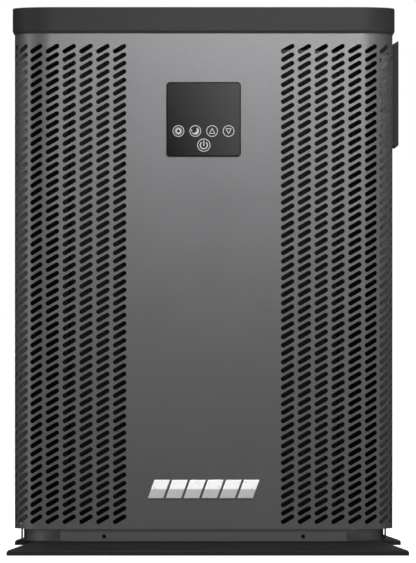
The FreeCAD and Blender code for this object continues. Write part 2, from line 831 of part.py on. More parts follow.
def fan_rotor():
    """Hub cup, shaft boss and swept blades, moulded in one."""
    hub_r, low, high = size("hub_r"), size("hub_low"), size("hub_high")
    wall, boss_r = 3.0, 14.0
    cup = Part.makeCylinder(hub_r, high - low, Vector(0, 0, low))
    hollow = Part.makeCylinder(hub_r - wall, high - low - 2 * wall, Vector(0, 0, low))
    boss = Part.makeCylinder(boss_r, high - low - 10.0, Vector(0, 0, low + 10.0))
    hub = cup.cut(hollow).fuse(boss)
    sections = [
        blade_section(hub_r - 5.0, 62.0, math.radians(42), 0.0),
        blade_section(110.0, 100.0, math.radians(30), math.radians(7)),
        blade_section(size("fan_r") + 8.0, 132.0, math.radians(22), math.radians(18)),
    ]
    blade = Part.makeLoft(sections, True, False)
    blade = blade.common(Part.makeCylinder(size("fan_r"), 200.0, Vector(0, 0, low - 50.0)))
    count = int(size("blade_count"))
    blades = []
    for index in range(count):
        copy = blade.copy()
        copy.rotate(Vector(), Vector(0, 0, 1), index * 360.0 / count)
        blades.append(copy)
    bore = Part.makeCylinder(size("shaft_r"), 200.0, Vector(0, 0, low - 50.0))
    shaped("fan_rotor", hub.fuse(blades).cut(bore).removeSplitter().Solids[0])


def fan_drive():
    keep(rod("motor_shaft", "shaft_r", "shaft_high - shaft_low", ("0", "0", "shaft_low")), "motor_shaft")
    turned("fan_nut", (
        ("shaft_r + 0.02", "hub_high"), ("11", "hub_high"), ("11", "hub_high + 5"), ("7", "hub_high + 10"),
        ("0", "hub_high + 10.5"), ("0", "shaft_high + 0.2"), ("shaft_r + 0.02", "shaft_high + 0.2"),
    ))
    bore = "shaft_r + running_gap"
    motor = turned("fan_motor", (
        (bore, "shaft_low - 2"), ("0", "shaft_low - 2"), ("0", "motor_low"), ("motor_r - 6", "motor_low"),
        ("motor_r", "motor_low + 6"), ("motor_r", "motor_high - 6"), ("motor_r + 10", "motor_high - 6"),
        ("motor_r + 10", "motor_high"), (bore, "motor_high"),
    ))
    ribs = new_sketch(motor, "motor_grooves", level="motor_high - 12")
    add_polygon(ribs, (("motor_r - 2", "-2"), ("motor_r + 1", "-2"), ("motor_r + 1", "2"), ("motor_r - 2", "2")))
    groove = pocket(motor, ribs, "motor_high - motor_low - 24")
    ring_pattern(motor, groove, 24)
    holes = new_sketch(motor, "motor_flange_holes", level="motor_high")
    for x in ("strap_x", "-strap_x"):
        for y in ("28", "-28"):
            add_circle(holes, "2.6", x, y)
    pocket(motor, holes, "6")


def motor_strap(side):
    """A flat steel strap bent down from the deck to carry the motor."""
    thick = size("strap_t")
    low_z = size("motor_high")
    top_z = size("deck_z")
    drop = size("shroud_r") + size("shroud_wall") + 0.5
    lug = drop + 30.0
    inner = drop
    outer = drop + thick
    outline = [
        (-lug, top_z), (-inner, top_z), (-inner, low_z + thick), (inner, low_z + thick), (inner, top_z),
        (lug, top_z), (lug, top_z - thick), (outer, top_z - thick), (outer, low_z),
        (-outer, low_z), (-outer, top_z - thick), (-lug, top_z - thick),
    ]
    x_low = side * size("strap_x") - size("strap_w") / 2
    points = [Vector(x_low, y, z) for y, z in outline]
    strap = Part.Face(Part.makePolygon(points + points[:1])).extrude(Vector(size("strap_w"), 0, 0))
    holes = [Part.makeCylinder(2.6, 20.0, Vector(side * size("strap_x"), y, low_z - 8.0)) for y in (-28, 28)]
    return strap.cut(holes)


def motor_bolts():
    bolts = []
    for x in (-size("strap_x"), size("strap_x")):
        for y in (-28.0, 28.0):
            foot_point = Vector(x, y, size("motor_high") - 5.0)
            shank = Part.makeCylinder(2.4, 5.0 + size("strap_t"), foot_point)
            head = hexagon(4.6, 3.5, foot_point + Vector(0, 0, 5.0 + size("strap_t")))
            bolts.append(shank.fuse(head).removeSplitter())
    shaped("motor_bolts", Part.makeCompound(bolts))


def hexagon(radius, height, centre):
    points = [centre + Vector(radius * math.cos(math.radians(60 * n)), radius * math.sin(math.radians(60 * n)), 0)
              for n in range(6)]
    return Part.Face(Part.makePolygon(points + points[:1])).extrude(Vector(0, 0, height))


# ---------------------------------------------------------------- air-side heat exchanger

def evaporator():
    fins = new_body("evaporator_fins")
    outline = new_sketch(fins, "coil_outline", level="coil_low")
    add_rounded(outline, "coil_half", "coil_half", "coil_corner")
    pad(fins, outline, "coil_high - coil_low")
    hollow = new_sketch(fins, "coil_hollow", level="coil_high")
    add_rounded(hollow, "coil_half - coil_t", "coil_half - coil_t", "coil_corner - coil_t")
    pocket(fins, hollow, "coil_high")
    opening = new_sketch(fins, "coil_opening", level="coil_high")
    add_polygon(opening, (
        ("-coil_gap", "coil_half - coil_t - 5"), ("coil_gap", "coil_half - coil_t - 5"),
        ("coil_gap", "coil_half + 5"), ("-coil_gap", "coil_half + 5"),
    ))
    pocket(fins, opening, "coil_high")
    bends = []
    for side in (-1, 1):
        height = size("coil_low") + 20.0
        while height < size("coil_high") - 20.0:
            centre = Vector(side * size("coil_gap"), size("coil_half") - size("coil_t") / 2, height)
            loop = Part.makeTorus(6.0, 2.5, centre, Vector(0, 1, 0))
            half = Part.makeBox(20, 20, 40, centre + Vector(0 if side < 0 else -20, -10, -20))
            bends.append(loop.common(half))
            height += 24.0
    shaped("coil_bends", Part.makeCompound(bends))
    headers = []
    for side, stub_z in ((-1, 390.0), (1, 250.0)):
        x, y = side * size("header_x"), size("header_y")
        tube = Part.makeCylinder(size("header_r"), size("coil_high") - size("coil_low") - 60.0,
                                 Vector(x, y, size("coil_low") + 30.0))
        stub = Part.makeCylinder(size("tube_r"), 16.0, Vector(x, y - 16.0, stub_z), Vector(0, 1, 0))
        headers.append(tube.fuse(stub))
    shaped("coil_headers", Part.makeCompound(headers))


# ---------------------------------------------------------------- water side

def water_tank():
    """Plastic shell with two ports towards the rear; the titanium coil stands inside it."""
    shell = rod("tank_outside", "tank_r", "tank_high - tank_low", ("0", "tank_y", "tank_low"))
    inside = rod("tank_inside", "tank_r - tank_wall", "tank_high - tank_low + 20", ("0", "tank_y", "tank_low - 10"))
    stubs, bores = [], []
    for name, level in (("inlet", "inlet_z"), ("outlet", "outlet_z")):
        foot_point = ("0", "tank_y + tank_r - 6", level)
        length = "body_half - 29 - tank_y - tank_r + 6"
        stubs.append(rod(name + "_stub", "stub_r", length, foot_point, ALONG_Y))
        bores.append(rod(name + "_bore", "water_r", length + " + 20", ("0", "tank_y + tank_r - 16", level), ALONG_Y))
    whole = fused("tank_solid", [shell] + stubs)
    keep(cut("exchanger_shell", whole, fused("tank_voids", [inside] + bores)), "exchanger_shell")
    top = turned("exchanger_top_cap", (
        ("0", "tank_high"), ("tank_r + 4", "tank_high"), ("tank_r + 4", "tank_high + 6"),
        ("tank_r - 14", "tank_high + 18"), ("0", "tank_high + 18"),
    ))
    for side in ("35", "-35"):
        fitting = new_sketch(top, "fitting_%s" % ("right" if side == "35" else "left"), level="tank_high + 18")
        add_circle(fitting, "10", side, "0")
        pad(top, fitting, "14")
    place(top, "0", "tank_y")
    bottom = turned("exchanger_bottom_cap", (
        ("0", "tank_low"), ("tank_r + 4", "tank_low"), ("tank_r + 4", "tank_low - 6"),
        ("tank_r - 15", "tank_low - 18"), ("tank_r - 15", "pan_bottom + pan_t + 6"),
        ("tank_r", "pan_bottom + pan_t + 3"), ("tank_r", "pan_bottom + pan_t"), ("0", "pan_bottom + pan_t"),
    ))
    place(bottom, "0", "tank_y")
    helix = Part.makeHelix(22.0, size("tank_high") - size("tank_low") - 60.0, 40.0)
    profile = Part.Wire([Part.Circle(Vector(40, 0, 0), Vector(0, 1, 0), 6.0).toShape()])
    coil = Part.Wire(helix).makePipeShell([profile], True, True)
    coil.translate(Vector(0, size("tank_y"), size("tank_low") + 30.0))
    shaped("titanium_coil", Part.makeCompound([coil]))


def water_union(name, level):
    """The socket that takes the pool pipe and the nut that draws it onto the tail."""
    def stand(body):
        place(body, "0", "body_half", level, ALONG_Y)
        return body

    stand(turned(name + "_socket", (
        ("water_r", "37.6"), ("34", "37.6"), ("34", "42"), ("30.3", "42"), ("30.3", "73"),
        ("29.3", "75"), ("socket_r + 1", "75"), ("socket_r", "74"), ("socket_r", "45"), ("water_r", "45"),
    )))
    nut = stand(turned(name + "_nut", (
        ("thread_r + running_gap", "14"), ("40", "14"), ("41", "15"), ("41", "44"), ("38", "47"),
        ("30.8", "47"), ("30.8", "42.3"), ("34.4", "42.3"), ("34.4", "36.8"),
        ("thread_r + running_gap", "36.8"),
    )))
    grip = new_sketch(nut, name + "_grip", level="16")
    add_polygon(grip, (("39", "-3.5"), ("43.5", "-2.5"), ("43.5", "2.5"), ("39", "3.5")))
    ring_pattern(nut, pad(nut, grip, "25"), 12)


def union_tails():
    """Two threaded tails through the rear wall, each with a face groove for its sealing ring."""
    half, bore, thread = size("body_half"), size("water_r"), size("thread_r")
    outline = (
        (bore, -29.0), (size("stub_r"), -29.0), (thread, -24.0), (thread, 0.3), (38.0, 0.3), (38.0, 7.0),
        (thread, 7.0), (thread, 37.0), (28.2, 37.0), (28.2, 35.2), (24.8, 35.2), (24.8, 37.0), (bore, 37.0),
    )
    tails, seals = [], []
    for level in (size("inlet_z"), size("outlet_z")):
        points = [Vector(radius, half + along, level) for radius, along in outline]
        face = Part.Face(Part.makePolygon(points + points[:1]))
        tails.append(face.revolve(Vector(0, 0, level), Vector(0, 1, 0), 360))
        seals.append(Part.makeTorus(26.5, 1.15, Vector(0, half + 36.35, level), Vector(0, 1, 0)))
    shaped("union_tails", Part.makeCompound(tails))
    shaped("union_seals", Part.makeCompound(seals))


def cable_gland():
    def stand(body):
        place(body, "gland_x", "body_half", "gland_z", ALONG_Y)
        return body

    stand(turned("cable_gland", (
        ("gland_bore", "-12"), ("10", "-12"), ("10", "0.3"), ("14", "0.3"), ("14", "6"),
        ("9.5", "6"), ("9.5", "14"), ("gland_bore", "14"),
    )))
    nut = stand(turned("gland_nut", (
        ("9.5 + running_gap", "7"), ("12.5", "7"), ("12.5", "18"), ("9.5", "23"), ("gland_bore + 0.6", "23"),
        ("gland_bore + 0.6", "15"), ("9.5 + running_gap", "15"),
    )))
    grip = new_sketch(nut, "gland_grip", level="8")
    add_polygon(grip, (("12", "-1"), ("13.6", "-0.8"), ("13.6", "0.8"), ("12", "1")))
    ring_pattern(nut, pad(nut, grip, "9"), 12)


# ---------------------------------------------------------------- refrigerant circuit

def compressor():
    can = turned("compressor", (
        ("0", "34"), ("82", "34"), ("82", "37"), ("comp_r - 8", "37"), ("comp_r", "49"), ("comp_r", "281"),
        ("comp_r - 14", "295"), ("14", "300"), ("7", "300"), ("7", "306"), ("0", "306"),
    ))
    place(can, "comp_x", "comp_y")
    holes = new_sketch(can, "foot_hole", level="37")
    add_circle(holes, "3.4", "71", "0")
    ring_pattern(can, pocket(can, holes, "5"), 3)
    pads, bolts = [], []
    for index in range(3):
        angle = math.radians(120 * index)
        at = Vector(size("comp_x") + 71 * math.cos(angle), size("comp_y") + 71 * math.sin(angle), 0)
        floor_z = size("pan_bottom") + size("pan_t")
        low = Part.makeCone(12, 9, 9, at + Vector(0, 0, floor_z))
        high = Part.makeCylinder(11, 34 - floor_z - 9, at + Vector(0, 0, floor_z + 9))
        pads.append(low.fuse(high).cut(Part.makeCylinder(3.2, 30, at + Vector(0, 0, floor_z))))
        stud = Part.makeCylinder(3.0, 44 - floor_z, at + Vector(0, 0, floor_z))
        bolts.append(stud.fuse(hexagon(6, 5, at + Vector(0, 0, 37))).removeSplitter())
    shaped("compressor_grommets", Part.makeCompound(pads))
    shaped("compressor_bolts", Part.makeCompound(bolts))
    bottle = turned("accumulator", (
        ("0", "90"), ("18", "90"), ("30", "102"), ("30", "248"), ("18", "260"), ("7", "262"),
        ("7", "272"), ("0", "272"),
    ))
    place(bottle, "30", "-105")


def reversing_valve():
    """Four-way valve body with one port up and three down."""
    middle = "-57.5"
    barrel = rod("valve_barrel", "13", "80", ("-97.5", "0", "valve_z"), ALONG_X)
    top = rod("valve_top_port", "tube_r", "30", (middle, "0", "valve_z"))
    lows = [rod("valve_port_%d" % n, "tube_r", "30", (x, "0", "valve_z - 30"))
            for n, x in enumerate(("-80", middle, "-35"))]
    coil = box("valve_coil", ("30", "12", "24"), ("-72.5", "12", "valve_z - 12"))
    keep(fused("reversing_valve", [barrel, top, coil] + lows), "reversing_valve")


def copper_tube(route):
    """A tube along straight runs with rounded corners."""
    radius, bend = size("tube_r"), 2.0 * size("tube_r")
    points = [Vector(*point) for point in route]
    edges, start = [], points[0]
    for before, corner, after in zip(points, points[1:], points[2:]):
        into = (corner - before).normalize()
        out = (after - corner).normalize()
        turn = math.acos(max(-1.0, min(1.0, into * out)))
        back = bend * math.tan(turn / 2)
        leave, meet = corner - into * back, corner + out * back
        inwards = (out - into).normalize()
        middle = corner + inwards * (bend / math.cos(turn / 2) - bend)
        edges.append(Part.LineSegment(start, leave).toShape())
        edges.append(Part.Arc(leave, middle, meet).toShape())
        start = meet
    edges.append(Part.LineSegment(start, points[-1]).toShape())
    first = (points[1] - points[0]).normalize()
    section = Part.Wire([Part.Circle(points[0], first, radius).toShape()])
    return Part.Wire(edges).makePipeShell([section], True, False)


def copper_lines():
    valve = size("valve_z")
    comp_x, comp_y = size("comp_x"), size("comp_y")
    tank_y, fitting = size("tank_y"), size("tank_high") + 32.0
    top_run = valve + 47.0
    low_port = valve - 30.0
    header_x, stub_y = size("header_x"), size("header_y") - 16.0
    shaped("discharge_line", copper_tube((
        (comp_x, comp_y, 306.0), (comp_x, comp_y, top_run), (-57.5, 0.0, top_run), (-57.5, 0.0, valve + 30.0))))
    shaped("suction_line", copper_tube((
        (-57.5, 0.0, low_port), (-57.5, 0.0, 340.0), (30.0, -105.0, 340.0), (30.0, -105.0, 272.0))))
    shaped("hot_gas_line", copper_tube((
        (-35.0, 0.0, low_port), (-35.0, 0.0, 396.0), (-35.0, tank_y, 396.0), (-35.0, tank_y, fitting))))
    shaped("evaporator_line", copper_tube((
        (-header_x, 0.0, low_port), (-header_x, 0.0, 390.0), (-header_x, stub_y, 390.0))))
    before_drier = copper_tube((
        (35.0, tank_y, fitting), (35.0, tank_y, 396.0), (85.0, tank_y, 396.0), (85.0, tank_y, 330.0)))
    after_drier = copper_tube((
        (85.0, tank_y, 250.0), (85.0, tank_y, 210.0), (header_x, 140.0, 210.0), (header_x, 140.0, 232.0)))
    shaped("liquid_lines", Part.makeCompound([before_drier, after_drier]))


def liquid_parts():
    drier = turned("filter_drier", (
        ("0", "250"), ("6", "250"), ("14", "262"), ("14", "318"), ("6", "330"), ("0", "330"),
    ))
    place(drier, "85", "tank_y")
    stem = rod("expansion_body", "8", "70", ("header_x", "140", "232"))
    motor_can = rod("expansion_motor", "14", "32", ("header_x", "140", "270"))
    port = rod("expansion_port", "tube_r", "20", ("header_x", "140", "250"), ALONG_Y)
    keep(fused("expansion_valve", [stem, motor_can, port]), "expansion_valve")


# ---------------------------------------------------------------- electrics

def electrics():
    inner = "2 * ebox_t"
    outside = box("ebox_outside", ("ebox_dx", "ebox_dy", "ebox_dz"), ("ebox_x", "ebox_y", "ebox_z"))
    inside = box("ebox_inside", ("ebox_dx", "ebox_dy - " + inner, "ebox_dz - " + inner),
                 ("ebox_x - ebox_t", "ebox_y + ebox_t", "ebox_z + ebox_t"))
    keep(cut("electrical_box", outside, inside), "electrical_box")
    keep(box("electrical_lid", ("ebox_t", "ebox_dy", "ebox_dz"), ("ebox_x - ebox_t", "ebox_y", "ebox_z")),
         "electrical_lid")
    board_x = size("ebox_x") + size("ebox_dx") - 12.0
    board = Part.makeBox(1.6, size("ebox_dy") - 20.0, size("ebox_dz") - 20.0,
                         Vector(board_x, size("ebox_y") + 10.0, size("ebox_z") + 10.0))
    soldered = [Part.makeCylinder(14, 45, Vector(board_x, size("ebox_y") + y, size("ebox_z") + 60.0),
                                  Vector(-1, 0, 0)) for y in (40, 80, 120)]
    soldered.append(Part.makeBox(35, 50, 60, Vector(board_x - 35.0, size("ebox_y") + 55.0, size("ebox_z") + 150.0)))
    shaped("inverter_board", Part.makeCompound([board] + soldered))
    fins = [box("heat_sink_base", ("60", "5", "210"), ("ebox_x + 10", "ebox_y + ebox_dy", "ebox_z + 25"))]
    for index in range(9):
        fins.append(box("heat_sink_fin_%d" % index, ("1.6", "22", "210"),
                        ("ebox_x + 10 + %g" % (index * 7.3), "ebox_y + ebox_dy", "ebox_z + 25")))
    keep(fused("heat_sink", fins), "heat_sink")


def side_terminals():
    """Wiring cover on the right wall, with the tray and terminal block behind it."""
    half, out, wall = size("terminal_half"), size("terminal_out"), size("terminal_wall")
    low, high = size("terminal_low"), size("terminal_high")
    wall_x = size("body_half")

    def prism(grow, near_x):
        outline = [(near_x, low + grow), (wall_x + out - grow, low + grow),
                   (wall_x + out - grow, high - grow), (near_x, high - 6.0 - grow)]
        points = [Vector(x, -half + grow, z) for x, z in outline]
        return Part.Face(Part.makePolygon(points + points[:1])).extrude(Vector(0, 2 * (half - grow), 0))

    shell = prism(0.0, wall_x).cut(prism(wall, wall_x - 5.0))
    along_x = Vector(1, 0, 0)
    bosses, holes = [], []
    for y, z in TERMINAL_SCREWS:
        bosses.append(Part.makeCylinder(size("screw_head_r") + 2.4, out - 0.5, Vector(wall_x, y, z), along_x))
        holes.append(Part.makeCylinder(size("screw_r") + 0.3, 30, Vector(wall_x - 5, y, z), along_x))
        holes.append(Part.makeCylinder(size("screw_head_r") + 0.5, 10, Vector(wall_x + TERMINAL_SEAT, y, z), along_x))
    shaped("terminal_cover", shell.fuse(bosses).cut(holes).removeSplitter().Solids[0])
    middle = (low + high) / 2
    outer = Part.makeBox(14.0, 160.0, 100.0, Vector(209.5, -80.0, middle - 50.0))
    inner = Part.makeBox(14.0, 157.6, 97.6, Vector(210.7, -78.8, middle - 48.8))
    shaped("terminal_tray", outer.cut(inner))
    block = Part.makeBox(14.0, 110.0, 26.0, Vector(210.7, -55.0, middle - 13.0))
    wells = [Part.makeBox(6.0, 12.0, 18.0, Vector(219.7, -50.0 + 18.0 * n, middle - 9.0)) for n in range(6)]
    shaped("terminal_block", block.cut(wells))


# ---------------------------------------------------------------- front fittings

def touch_panel():
    glass = new_body("touch_glass")
    face = new_sketch(glass, "glass_outline", "XZ_Plane", "body_half")
    add_rounded(face, "glass_side / 2", "glass_side / 2", "glass_corner", "display_z")
    pad(glass, face, "glass_t")
    housing = new_body("display_housing")
    frame_sketch = new_sketch(housing, "housing_outline", "XZ_Plane", "body_half - housing_depth")
    add_rounded(frame_sketch, "cutout_side / 2 - 0.5", "cutout_side / 2 - 0.5", "2", "display_z")
    pad(housing, frame_sketch, "housing_depth")
    hollow = new_sketch(housing, "housing_hollow", "XZ_Plane", "body_half")
    add_rounded(hollow, "cutout_side / 2 - 3", "cutout_side / 2 - 3", "1", "display_z")
    pocket(housing, hollow, "housing_depth - 2")
    rim = new_sketch(housing, "housing_rim", "XZ_Plane", "body_half - sheet_t - 3.5")
    add_rounded(rim, "cutout_side / 2 + 6", "cutout_side / 2 + 6", "3", "display_z")
    add_rounded(rim, "cutout_side / 2 - 3", "cutout_side / 2 - 3", "1", "display_z")
    pad(housing, rim, "3")
    board = "cutout_side - 10"
    keep(box("display_board", (board, "1.6", board),
             ("-cutout_side / 2 + 5", "-body_half + 3", "display_z - cutout_side / 2 + 5")), "display_board")


def badge():
    """A row of plain slanted bars with bevelled rims."""
    count = int(size("badge_bars"))
    width, height, thick = size("badge_w"), size("badge_h"), size("badge_t")
    lean = height * math.tan(math.radians(size("badge_slant")))
    pitch = (width - lean + 3.0) / count
    low = size("badge_z") - height / 2
    bars = []
    for index in range(count):
        left = -width / 2 + pitch * index
        right = left + pitch - 3.0
        outline = [(left, low), (right, low), (right + lean, low + height), (left + lean, low + height)]
        points = [Vector(x, -size("body_half"), z) for x, z in outline]
        bar = Part.Face(Part.makePolygon(points + points[:1])).extrude(Vector(0, -thick, 0))
        rim = [edge for edge in bar.Edges if edge.BoundBox.YMax < -size("body_half") - thick + 0.01]
        bars.append(bar.makeChamfer(0.7, rim))
    shaped("badge", Part.makeCompound(bars))


# ---------------------------------------------------------------- build, check and write

def check_and_write():
    doc.recompute()
    for thing in doc.Objects:
        if "Invalid" in thing.State or "Error" in thing.State:
            raise ValueError("%s has failed: %s" % (thing.Label, thing.State))
    os.makedirs("parts", exist_ok=True)
    for node in nodes:
        shape = node.Shape
        if shape.isNull() or not shape.isValid() or not shape.Solids or shape.Volume <= 0:
            raise ValueError("%s has no sound shape" % node.Label)
        shape.exportStep(os.path.join("parts", node.Label + ".step"))
    print("%d sub-parts written" % len(nodes))


casing()
casing_screws()
base_pan()
sill("front_sill", True)
sill("rear_sill", False)
sill_screws()
foot("front_foot", -size("foot_front"))
foot("rear_foot", size("foot_front") - size("foot_depth"))
drain_spigot()
top_cover()
fan_deck()
fan_shroud()
fan_grille()
fan_rotor()
fan_drive()
shaped("motor_straps", Part.makeCompound([motor_strap(-1), motor_strap(1)]))
motor_bolts()
evaporator()
water_tank()
water_union("inlet", "inlet_z")
water_union("outlet", "outlet_z")
union_tails()
cable_gland()
compressor()
reversing_valve()
copper_lines()
liquid_parts()
electrics()
side_terminals()
touch_panel()
badge()
check_and_write()
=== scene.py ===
import json
import math

import bmesh
import bpy
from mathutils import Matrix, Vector

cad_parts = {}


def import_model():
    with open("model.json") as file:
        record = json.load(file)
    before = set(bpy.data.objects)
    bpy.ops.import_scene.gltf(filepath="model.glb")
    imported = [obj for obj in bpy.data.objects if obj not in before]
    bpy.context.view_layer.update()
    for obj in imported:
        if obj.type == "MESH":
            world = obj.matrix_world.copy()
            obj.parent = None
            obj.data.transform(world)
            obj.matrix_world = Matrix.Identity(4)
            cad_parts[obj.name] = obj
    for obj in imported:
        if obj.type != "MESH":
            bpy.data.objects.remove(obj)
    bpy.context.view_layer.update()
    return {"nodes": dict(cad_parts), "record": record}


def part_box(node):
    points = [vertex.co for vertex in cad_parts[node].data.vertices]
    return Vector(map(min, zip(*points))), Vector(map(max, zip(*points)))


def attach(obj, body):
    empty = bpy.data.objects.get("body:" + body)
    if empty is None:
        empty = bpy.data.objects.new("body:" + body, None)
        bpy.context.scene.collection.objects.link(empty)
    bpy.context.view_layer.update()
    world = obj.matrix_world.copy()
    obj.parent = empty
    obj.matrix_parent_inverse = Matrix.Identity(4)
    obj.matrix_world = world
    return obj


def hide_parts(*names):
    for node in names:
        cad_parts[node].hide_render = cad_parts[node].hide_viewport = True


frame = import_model()
scene = bpy.context.scene
nodes = frame["nodes"]
ROOT = "casing"
MM = 0.001


# ---------------------------------------------------------------- places read from the frame

GLASS_LOW, GLASS_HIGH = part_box("touch_glass")
COIL_LOW, COIL_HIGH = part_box("evaporator_fins")
BADGE_LOW, BADGE_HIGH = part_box("badge")
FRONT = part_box("front_panel")[0][1]
PAN_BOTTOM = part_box("base_pan")[0][2]


# ---------------------------------------------------------------- materials

def new_material(name):
    material = bpy.data.materials.new(name)
    material.use_nodes = True
    tree = material.node_tree
    shader = tree.nodes["Principled BSDF"]
    return material, tree, shader


def noise(tree, scale, detail=2.0, stretch=(1.0, 1.0, 1.0)):
    """Object-space noise, with its coordinates stretched where a finish has a direction."""
    place = tree.nodes.new("ShaderNodeTexCoord")
    mapping = tree.nodes.new("ShaderNodeMapping")
    mapping.inputs["Scale"].default_value = stretch
    texture = tree.nodes.new("ShaderNodeTexNoise")
    texture.inputs["Scale"].default_value = scale
    texture.inputs["Detail"].default_value = detail
    tree.links.new(place.outputs["Object"], mapping.inputs["Vector"])
    tree.links.new(mapping.outputs["Vector"], texture.inputs["Vector"])
    return texture.outputs["Fac"]


def spread_colour(tree, shader, fac, base, spread):
    """Colour that wanders a little darker and lighter than the base."""
    ramp = tree.nodes.new("ShaderNodeValToRGB")
    darker, lighter = ramp.color_ramp.elements
    darker.position, lighter.position = 0.3, 0.7
    darker.color = tuple(level * (1 - spread) for level in base) + (1.0,)
    lighter.color = tuple(min(1.0, level * (1 + spread)) for level in base) + (1.0,)
    tree.links.new(fac, ramp.inputs["Fac"])
    tree.links.new(ramp.outputs["Color"], shader.inputs["Base Color"])
    return ramp


def spread_value(tree, fac, low, high, socket):
    """A value that wanders between low and high."""
    span = tree.nodes.new("ShaderNodeMapRange")
    span.inputs["To Min"].default_value = low
    span.inputs["To Max"].default_value = high
    tree.links.new(fac, span.inputs["Value"])
    tree.links.new(span.outputs["Result"], socket)


def add_bump(tree, shader, fac, strength, distance):
    bump = tree.nodes.new("ShaderNodeBump")
    bump.inputs["Strength"].default_value = strength
    bump.inputs["Distance"].default_value = distance
    tree.links.new(fac, bump.inputs["Height"])
    tree.links.new(bump.outputs["Normal"], shader.inputs["Normal"])


def finish_of(name, base, roughness, metallic=0.0, spread=0.08, grain=700.0, bump=0.15, depth=0.0002,
              stretch=(1.0, 1.0, 1.0), coat=0.0, specular=0.5):
    """A finish with uneven colour, uneven roughness and a fine surface grain."""
    material, tree, shader = new_material(name)
    fine = noise(tree, grain, 3.0, stretch)
    broad = noise(tree, grain / 60.0, 2.0)
    spread_colour(tree, shader, fine, base, spread)
    spread_value(tree, broad, roughness * 0.92, min(1.0, roughness * 1.08), shader.inputs["Roughness"])
    add_bump(tree, shader, fine, bump, depth)
    shader.inputs["Metallic"].default_value = metallic
    shader.inputs["Specular IOR Level"].default_value = specular
    shader.inputs["Coat Weight"].default_value = coat
    shader.inputs["Coat Roughness"].default_value = 0.25
    return material


def body_paint():
    """Metallic grey powder coat: fine flake in the colour and an orange-peel surface."""
    return finish_of("body_paint", (0.125, 0.125, 0.129), 0.46, metallic=0.85, spread=0.16,
                     grain=1500.0, bump=0.12, depth=0.00012, specular=0.2)


def brushed(name, base, roughness):
    """Bare metal with its grain drawn out in one direction."""
    return finish_of(name, base, roughness, metallic=1.0, spread=0.12, grain=160.0, bump=0.08, depth=0.0001,
                     stretch=(1.0, 1.0, 30.0))


def place_along(tree, axis):
    """The place of a point along X, Y or Z in the unit's own frame."""
    place = tree.nodes.new("ShaderNodeTexCoord")
    split = tree.nodes.new("ShaderNodeSeparateXYZ")
    tree.links.new(place.outputs["Object"], split.inputs["Vector"])
    return split.outputs[axis]


def worked_out(tree, operation, *values):
    """One math node fed with sockets or numbers."""
    node = tree.nodes.new("ShaderNodeMath")
    node.operation = operation
    for socket, value in zip(node.inputs, values):
        if isinstance(value, float):
            socket.default_value = value
        else:
            tree.links.new(value, socket)
    return node.outputs["Value"]


def share_between(tree, value, low, high):
    """0 where the value is low or less, 1 where it is high or more, and even in between."""
    span = tree.nodes.new("ShaderNodeMapRange")
    span.inputs["From Min"].default_value = low
    span.inputs["From Max"].default_value = high
    tree.links.new(value, span.inputs["Value"])
    return span.outputs["Result"]


def shaded(tree, share, first, second):
    """A two-colour ramp; first and second are (position, grey level, blue share)."""
    ramp = tree.nodes.new("ShaderNodeValToRGB")
    for stop, (position, level, blue) in zip(ramp.color_ramp.elements, (first, second)):
        stop.position = position
        stop.color = (level, level, level * blue, 1.0)
    tree.links.new(share, ramp.inputs["Fac"])
    return ramp.outputs["Color"]


def darkened(tree, share, colour, level):
    """The colour, going over to a near-black level as the share goes to 1."""
    first, second, result = 6, 7, 2     # a mix node's colour sockets share their names with others
    mix = tree.nodes.new("ShaderNodeMix")
    mix.data_type = "RGBA"
    tree.links.new(share, mix.inputs["Factor"])
    tree.links.new(colour, mix.inputs[first])
    mix.inputs[second].default_value = (level, level, level, 1.0)
    return mix.outputs[result]


def badge_chrome():
    """Chrome with a painted reflection: light above the badge's middle line and a darker grey below it."""
    material, tree, shader = new_material("badge_chrome")
    share = share_between(tree, place_along(tree, "Z"), BADGE_LOW[2], BADGE_HIGH[2])
    # painted reflection: the upper half of the badge is coloured near white and the lower half grey
    colour = shaded(tree, share, (0.46, 0.50, 0.97), (0.54, 1.0, 0.99))
    tree.links.new(colour, shader.inputs["Base Color"])
    spread_value(tree, noise(tree, 90.0), 0.24, 0.34, shader.inputs["Roughness"])
    shader.inputs["Metallic"].default_value = 0.45
    return material


def touch_glass():
    """Black printed glass with a painted highlight that makes it lighter to the upper right, and a darker
    ground rim.
    """
    material, tree, shader = new_material("panel_glass")
    half = (GLASS_HIGH[0] - GLASS_LOW[0]) / 2
    rim_start, rim_end = half - 1.6 * MM, half - 0.8 * MM
    across = worked_out(tree, "SUBTRACT", place_along(tree, "X"), (GLASS_LOW[0] + GLASS_HIGH[0]) / 2)
    up = worked_out(tree, "SUBTRACT", place_along(tree, "Z"), (GLASS_LOW[2] + GLASS_HIGH[2]) / 2)
    # painted highlight: the glass colour rises from near black at the lower left to a lighter grey at the
    # upper right
    highlight_slope = worked_out(tree, "ADD", across, worked_out(tree, "MULTIPLY", up, 0.5))
    share = share_between(tree, highlight_slope, -1.5 * half, 1.5 * half)
    colour = shaded(tree, share, (0.0, 0.003, 1.02), (1.0, 0.034, 1.02))
    reach = worked_out(tree, "MAXIMUM", *[worked_out(tree, "ABSOLUTE", value) for value in (across, up)])
    rim = share_between(tree, reach, rim_start, rim_end)
    tree.links.new(darkened(tree, rim, colour, 0.002), shader.inputs["Base Color"])
    spread_value(tree, noise(tree, 40.0), 0.10, 0.16, shader.inputs["Roughness"])
    shader.inputs["Specular IOR Level"].default_value = 0.2
    return material


